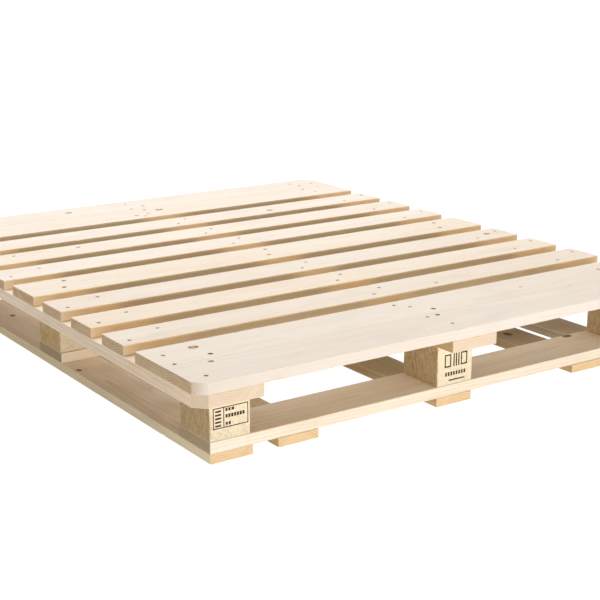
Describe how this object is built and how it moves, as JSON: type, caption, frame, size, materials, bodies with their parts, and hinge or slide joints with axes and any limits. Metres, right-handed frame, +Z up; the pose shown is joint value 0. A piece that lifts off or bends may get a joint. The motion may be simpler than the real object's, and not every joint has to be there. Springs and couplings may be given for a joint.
{
  "type": "wooden pallet",
  "caption": "Wooden block pallet with spaced deck boards, pressed-chip blocks and a framed base on runners, open to forks from every side.",
  "frame": {"origin": "on the floor, under the middle of the deck", "axes": "+X along the deck boards, +Y along the stringers and runners from the front to the back, +Z up"},
  "size_m": [1.1, 1.3, 0.156],
  "materials": {
    "deck_timber": "pale planed spruce, dry and unvarnished",
    "stringer_timber": "warm sawn spruce, unvarnished",
    "base_timber": "sawn spruce, unvarnished",
    "chip_block": "pressed wood chips, speckled",
    "nail_steel": "bright steel gone dull on the heads"
  },
  "bodies": {
    "root": {"deck_board_1": "deck_timber", "deck_board_2": "deck_timber", "deck_board_3": "deck_timber", "deck_board_4": "deck_timber", "deck_board_5": "deck_timber", "deck_board_6": "deck_timber", "deck_board_7": "deck_timber", "deck_board_8": "deck_timber", "deck_board_9": "deck_timber", "deck_board_10": "deck_timber", "deck_board_11": "deck_timber", "stringer_left": "stringer_timber", "stringer_middle": "stringer_timber", "stringer_right": "stringer_timber", "block_front_left": "chip_block", "block_front_middle": "chip_block", "block_front_right": "chip_block", "block_middle_left": "chip_block", "block_middle_middle": "chip_block", "block_middle_right": "chip_block", "block_back_left": "chip_block", "block_back_middle": "chip_block", "block_back_right": "chip_block", "base_cross_board_front": "base_timber", "base_cross_board_middle": "base_timber", "base_cross_board_back": "base_timber", "runner_left_edge": "base_timber", "runner_left_inner": "base_timber", "runner_middle": "base_timber", "runner_right_inner": "base_timber", "runner_right_edge": "base_timber", "deck_nail_front_left_1": "nail_steel", "deck_nail_front_left_2": "nail_steel", "deck_nail_front_middle_1": "nail_steel", "deck_nail_front_middle_2": "nail_steel", "deck_nail_front_right_1": "nail_steel", "deck_nail_front_right_2": "nail_steel", "deck_nail_middle_left_1": "nail_steel", "deck_nail_middle_left_2": "nail_steel", "deck_nail_middle_middle_1": "nail_steel", "deck_nail_middle_middle_2": "nail_steel", "deck_nail_middle_right_1": "nail_steel", "deck_nail_middle_right_2": "nail_steel", "deck_nail_back_left_1": "nail_steel", "deck_nail_back_left_2": "nail_steel", "deck_nail_back_middle_1": "nail_steel", "deck_nail_back_middle_2": "nail_steel", "deck_nail_back_right_1": "nail_steel", "deck_nail_back_right_2": "nail_steel", "base_nail_front_left": "nail_steel", "base_nail_front_middle": "nail_steel", "base_nail_front_right": "nail_steel", "base_nail_middle_left": "nail_steel", "base_nail_middle_middle": "nail_steel", "base_nail_middle_right": "nail_steel", "base_nail_back_left": "nail_steel", "base_nail_back_middle": "nail_steel", "base_nail_back_right": "nail_steel"}
  },
  "joints": []
}
